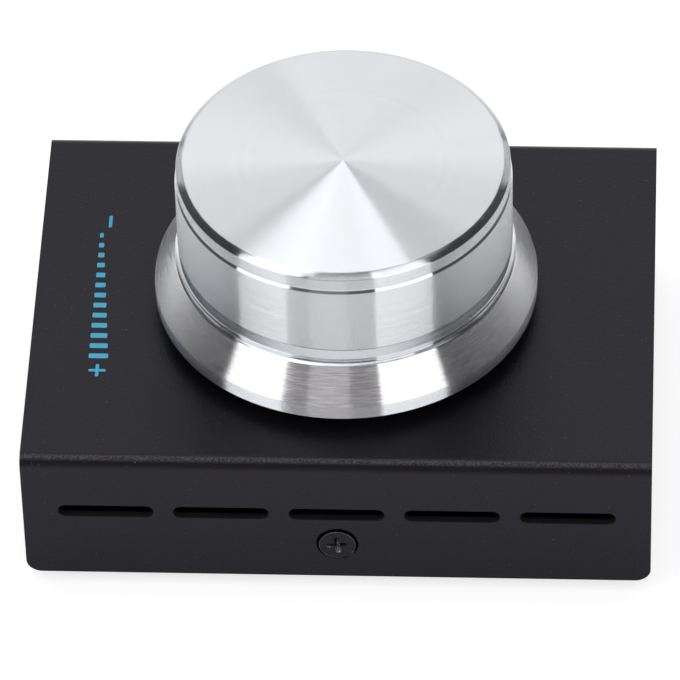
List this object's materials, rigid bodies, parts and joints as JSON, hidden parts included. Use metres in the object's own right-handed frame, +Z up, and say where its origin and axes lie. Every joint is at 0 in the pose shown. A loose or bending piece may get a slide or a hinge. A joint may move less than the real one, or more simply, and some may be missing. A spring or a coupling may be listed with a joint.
{
  "type": "usb volume control knob",
  "caption": "Large turned metal knob on a low folded sheet-metal box with vent slots; it turns without limit and presses down, and a cable socket sits in one end wall.",
  "frame": {"origin": "centre of the box's footprint, on the surface that the rubber feet stand on", "axes": "+X along the box's long side towards the cable socket, +Y from the user's flange with the vent slots to the rear, +Z up along the knob's axis"},
  "size_m": [0.08, 0.06, 0.0463],
  "materials": {
    "black_sheet": "fine powder coat, satin",
    "black_screw": "black oxide",
    "rubber_feet": "matt",
    "turned_aluminium": "fine concentric turning marks",
    "capacitor_metal": "bright",
    "board_laminate": "green solder mask",
    "black_moulding": "moulded",
    "rotor_moulding": "moulded",
    "die_cast": "die cast",
    "bare_steel": "nickel plated",
    "brass": "turned",
    "tinned_pins": "tinned",
    "ceramic_part": "matt",
    "resistor_part": "matt"
  },
  "bodies": {
    "root": {"base_shell": "black_sheet", "board_pillars": "brass", "board_screws": "bare_steel", "bushing_nut": "bare_steel", "capacitor_can": "capacitor_metal", "capacitor_seat": "black_moulding", "ceramic_capacitors": "ceramic_part", "chip_leads": "tinned_pins", "circuit_board": "board_laminate", "closing_screw_front": "black_screw", "closing_screw_rear": "black_screw", "controller_chip": "black_moulding", "cover_shell": "black_sheet", "crystal_can": "capacitor_metal", "detent_spring": "bare_steel", "encoder_bushing": "die_cast", "encoder_frame": "bare_steel", "encoder_housing": "black_moulding", "encoder_pins": "tinned_pins", "encoder_switch_base": "black_moulding", "foot_front_left": "rubber_feet", "foot_front_right": "rubber_feet", "foot_rear_left": "rubber_feet", "foot_rear_right": "rubber_feet", "resistors": "resistor_part", "spring_washer": "bare_steel", "switch_dome": "bare_steel", "usb_contacts": "tinned_pins", "usb_insulator": "black_moulding", "usb_shell": "bare_steel", "voltage_regulator": "black_moulding"},
    "rotor": {"encoder_rotor": "rotor_moulding"},
    "knob": {"knob_shaft": "bare_steel", "knob_body": "turned_aluminium", "grub_screw": "bare_steel"},
    "plunger": {"switch_plunger": "rotor_moulding"}
  },
  "joints": [
    {"name": "knob_turn", "type": "hinge", "parent": "root", "child": "rotor", "pos_m": [0.00025, 0.00075, 0.0224], "axis": [0, 0, 1], "continuous": true},
    {"name": "knob_press", "type": "slide", "parent": "rotor", "child": "knob", "axis": [0, 0, -1], "range_m": [0, 0.0005], "stiffness_N_per_m": 4000, "springref_m": -0.00075},
    {"name": "switch_press", "type": "slide", "parent": "root", "child": "plunger", "axis": [0, 0, -1], "range_m": [0, 0.0005], "deforming": ["switch_dome"]}
  ],
  "couplings": [
    {"joint": "switch_press", "follows": "knob_press", "ratio": 1}
  ]
}
